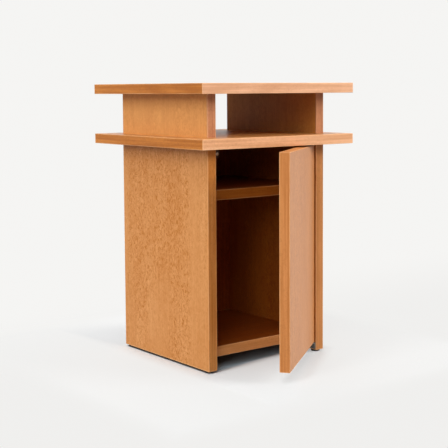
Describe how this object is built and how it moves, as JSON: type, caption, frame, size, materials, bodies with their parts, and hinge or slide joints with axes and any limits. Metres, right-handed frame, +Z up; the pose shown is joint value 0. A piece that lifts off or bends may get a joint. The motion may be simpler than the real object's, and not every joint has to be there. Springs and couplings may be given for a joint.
{
  "type": "nightstand",
  "caption": "Square two-slab nightstand with an open cubby over a cupboard with a hinged push-latch door and an inner shelf.",
  "frame": {"origin": "on the floor, under the middle of the slabs", "axes": "+Z up, the front faces -Y, +X to the right seen from the front"},
  "size_m": [0.418, 0.5338, 0.61],
  "materials": {
    "panel_veneer": "satin honey-stained maple veneer",
    "door_veneer": "satin honey-stained maple veneer",
    "edge_lipping": "satin honey-stained maple strips",
    "back_plywood": "dark stained plywood",
    "dowel_beech": "raw fluted beech",
    "hinge_steel": "zinc plated",
    "fastener_steel": "zinc plated",
    "washer_nylon": "natural nylon",
    "pin_steel": "nickel plated",
    "glide_plastic": "moulded dark brown",
    "latch_plastic": "moulded dark brown",
    "latch_metal": "nickel plated"
  },
  "bodies": {
    "carcass": {"top_panel": "panel_veneer", "middle_panel": "panel_veneer", "left_riser": "panel_veneer", "right_riser": "panel_veneer", "left_side_panel": "panel_veneer", "right_side_panel": "panel_veneer", "bottom_panel": "panel_veneer", "inner_shelf": "panel_veneer", "top_panel_edging": "edge_lipping", "middle_panel_edging": "edge_lipping", "left_riser_edging": "edge_lipping", "right_riser_edging": "edge_lipping", "left_side_edging": "edge_lipping", "right_side_edging": "edge_lipping", "bottom_panel_edging": "edge_lipping", "inner_shelf_edging": "edge_lipping", "back_panel": "back_plywood", "riser_top_dowels": "dowel_beech", "riser_foot_dowels": "dowel_beech", "side_top_dowels": "dowel_beech", "bottom_panel_dowels": "dowel_beech", "upper_frame_leaf": "hinge_steel", "lower_pivot_bracket": "hinge_steel", "upper_pivot_pin": "hinge_steel", "lower_pivot_pin": "hinge_steel", "frame_leaf_screws": "fastener_steel", "bracket_screws": "fastener_steel", "latch_screws": "fastener_steel", "glide_nails": "fastener_steel", "back_panel_nails": "fastener_steel", "latch_spring": "fastener_steel", "lower_pivot_washer": "washer_nylon", "shelf_pins": "pin_steel", "floor_glides": "glide_plastic", "latch_housing": "latch_plastic"},
    "door": {"door_panel": "door_veneer", "door_edging": "edge_lipping", "upper_door_leaf": "hinge_steel", "lower_door_leaf": "hinge_steel", "door_leaf_screws": "fastener_steel", "upper_pivot_washer": "washer_nylon", "latch_strike": "latch_metal", "strike_screw": "fastener_steel"},
    "latch_plunger": {"latch_plunger": "latch_plastic", "latch_magnet": "latch_metal"}
  },
  "joints": [
    {"name": "door_swing", "type": "hinge", "parent": "carcass", "child": "door", "pos_m": [0.1325, -0.1575, 0.25], "axis": [0, 0, 1], "range_deg": [-37.3, 67.7]},
    {"name": "latch_push", "type": "slide", "parent": "carcass", "child": "latch_plunger", "axis": [0, 1, 0], "range_m": [0, 0.003], "stiffness_N_per_m": 400, "deforming": ["latch_spring"]}
  ]
}
